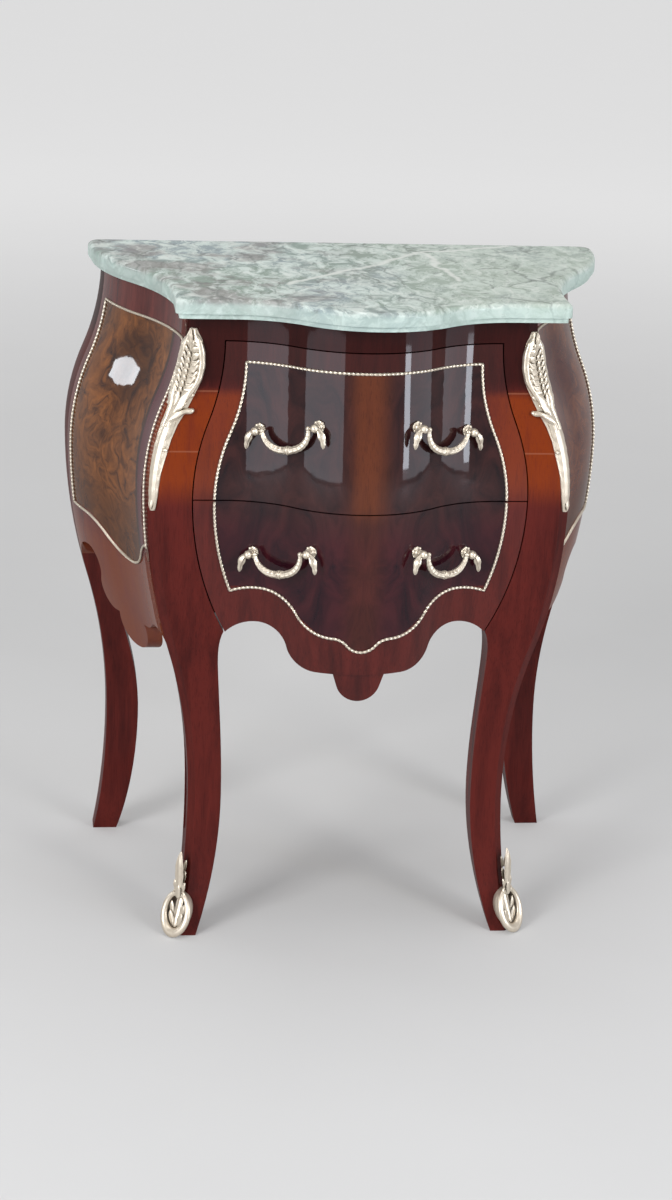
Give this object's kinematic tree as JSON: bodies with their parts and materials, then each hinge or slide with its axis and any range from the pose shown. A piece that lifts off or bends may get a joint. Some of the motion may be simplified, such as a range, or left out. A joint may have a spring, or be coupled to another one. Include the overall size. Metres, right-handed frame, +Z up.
{
  "type": "chest of drawers",
  "caption": "Small bombe chest of drawers on cabriole legs, with a loose green stone slab, gilt mounts, bail handles and a scalloped apron.",
  "frame": {"origin": "on the floor, at the centre of the bounding box's bottom face", "axes": "+Z up, +X to the chest's left as a user faces it (the viewer's right), -Y out of the front, where the drawers pull"},
  "size_m": [0.672, 0.4359, 0.78],
  "materials": {
    "stone": "polished",
    "veneer_wood": "high gloss",
    "carcass_wood": "plain",
    "gilt": "gilt, satin",
    "steel": "plain"
  },
  "bodies": {
    "case": {"marble_top": "stone", "front_leg_right": "veneer_wood", "front_leg_left": "veneer_wood", "back_leg_right": "veneer_wood", "back_leg_left": "veneer_wood", "side_panel_right": "veneer_wood", "side_panel_left": "veneer_wood", "side_trim_right": "gilt", "side_trim_left": "gilt", "corner_mount_right": "gilt", "corner_mount_left": "gilt", "foot_sabot_right": "gilt", "foot_sabot_left": "gilt", "frieze_rail": "veneer_wood", "divider_rail": "carcass_wood", "bottom_front_rail": "carcass_wood", "top_board": "carcass_wood", "bottom_board": "carcass_wood", "back_panel": "carcass_wood", "back_top_rail": "carcass_wood", "back_middle_rail": "carcass_wood", "back_bottom_rail": "carcass_wood", "upper_runner_right": "carcass_wood", "upper_runner_left": "carcass_wood", "lower_runner_right": "carcass_wood", "lower_runner_left": "carcass_wood", "kicker_right": "carcass_wood", "kicker_left": "carcass_wood", "drawer_stops": "carcass_wood"},
    "upper_drawer": {"upper_drawer_front": "veneer_wood", "upper_drawer_side_right": "carcass_wood", "upper_drawer_side_left": "carcass_wood", "upper_drawer_back": "carcass_wood", "upper_drawer_bottom": "carcass_wood", "upper_drawer_trim": "gilt", "upper_handle_posts": "gilt", "upper_handle_nuts": "steel"},
    "lower_drawer": {"lower_drawer_front": "veneer_wood", "lower_drawer_side_right": "carcass_wood", "lower_drawer_side_left": "carcass_wood", "lower_drawer_back": "carcass_wood", "lower_drawer_bottom": "carcass_wood", "lower_drawer_trim": "gilt", "lower_handle_posts": "gilt", "lower_handle_nuts": "steel", "apron_pendant": "veneer_wood"},
    "upper_bail_right": {"upper_bail_right": "gilt"},
    "upper_bail_left": {"upper_bail_left": "gilt"},
    "lower_bail_right": {"lower_bail_right": "gilt"},
    "lower_bail_left": {"lower_bail_left": "gilt"}
  },
  "joints": [
    {"name": "upper_drawer_slide", "type": "slide", "parent": "case", "child": "upper_drawer", "axis": [0, -1, 0], "range_m": [0, 0.22]},
    {"name": "lower_drawer_slide", "type": "slide", "parent": "case", "child": "lower_drawer", "axis": [0, -1, 0], "range_m": [0, 0.22]},
    {"name": "upper_bail_right_hinge", "type": "hinge", "parent": "upper_drawer", "child": "upper_bail_right", "pos_m": [0.09266, -0.17774, 0.6385], "axis": [-0.8452, -0.5052, 0.1744], "range_deg": [0, 85]},
    {"name": "upper_bail_left_hinge", "type": "hinge", "parent": "upper_drawer", "child": "upper_bail_left", "pos_m": [-0.09266, -0.17774, 0.6385], "axis": [-0.8452, 0.5052, -0.1744], "range_deg": [0, 85]},
    {"name": "lower_bail_right_hinge", "type": "hinge", "parent": "lower_drawer", "child": "lower_bail_right", "pos_m": [0.0976, -0.18159, 0.494], "axis": [-0.8376, -0.522, 0.1608], "range_deg": [0, 85]},
    {"name": "lower_bail_left_hinge", "type": "hinge", "parent": "lower_drawer", "child": "lower_bail_left", "pos_m": [-0.0976, -0.18159, 0.494], "axis": [-0.8376, 0.522, -0.1608], "range_deg": [0, 85]}
  ]
}
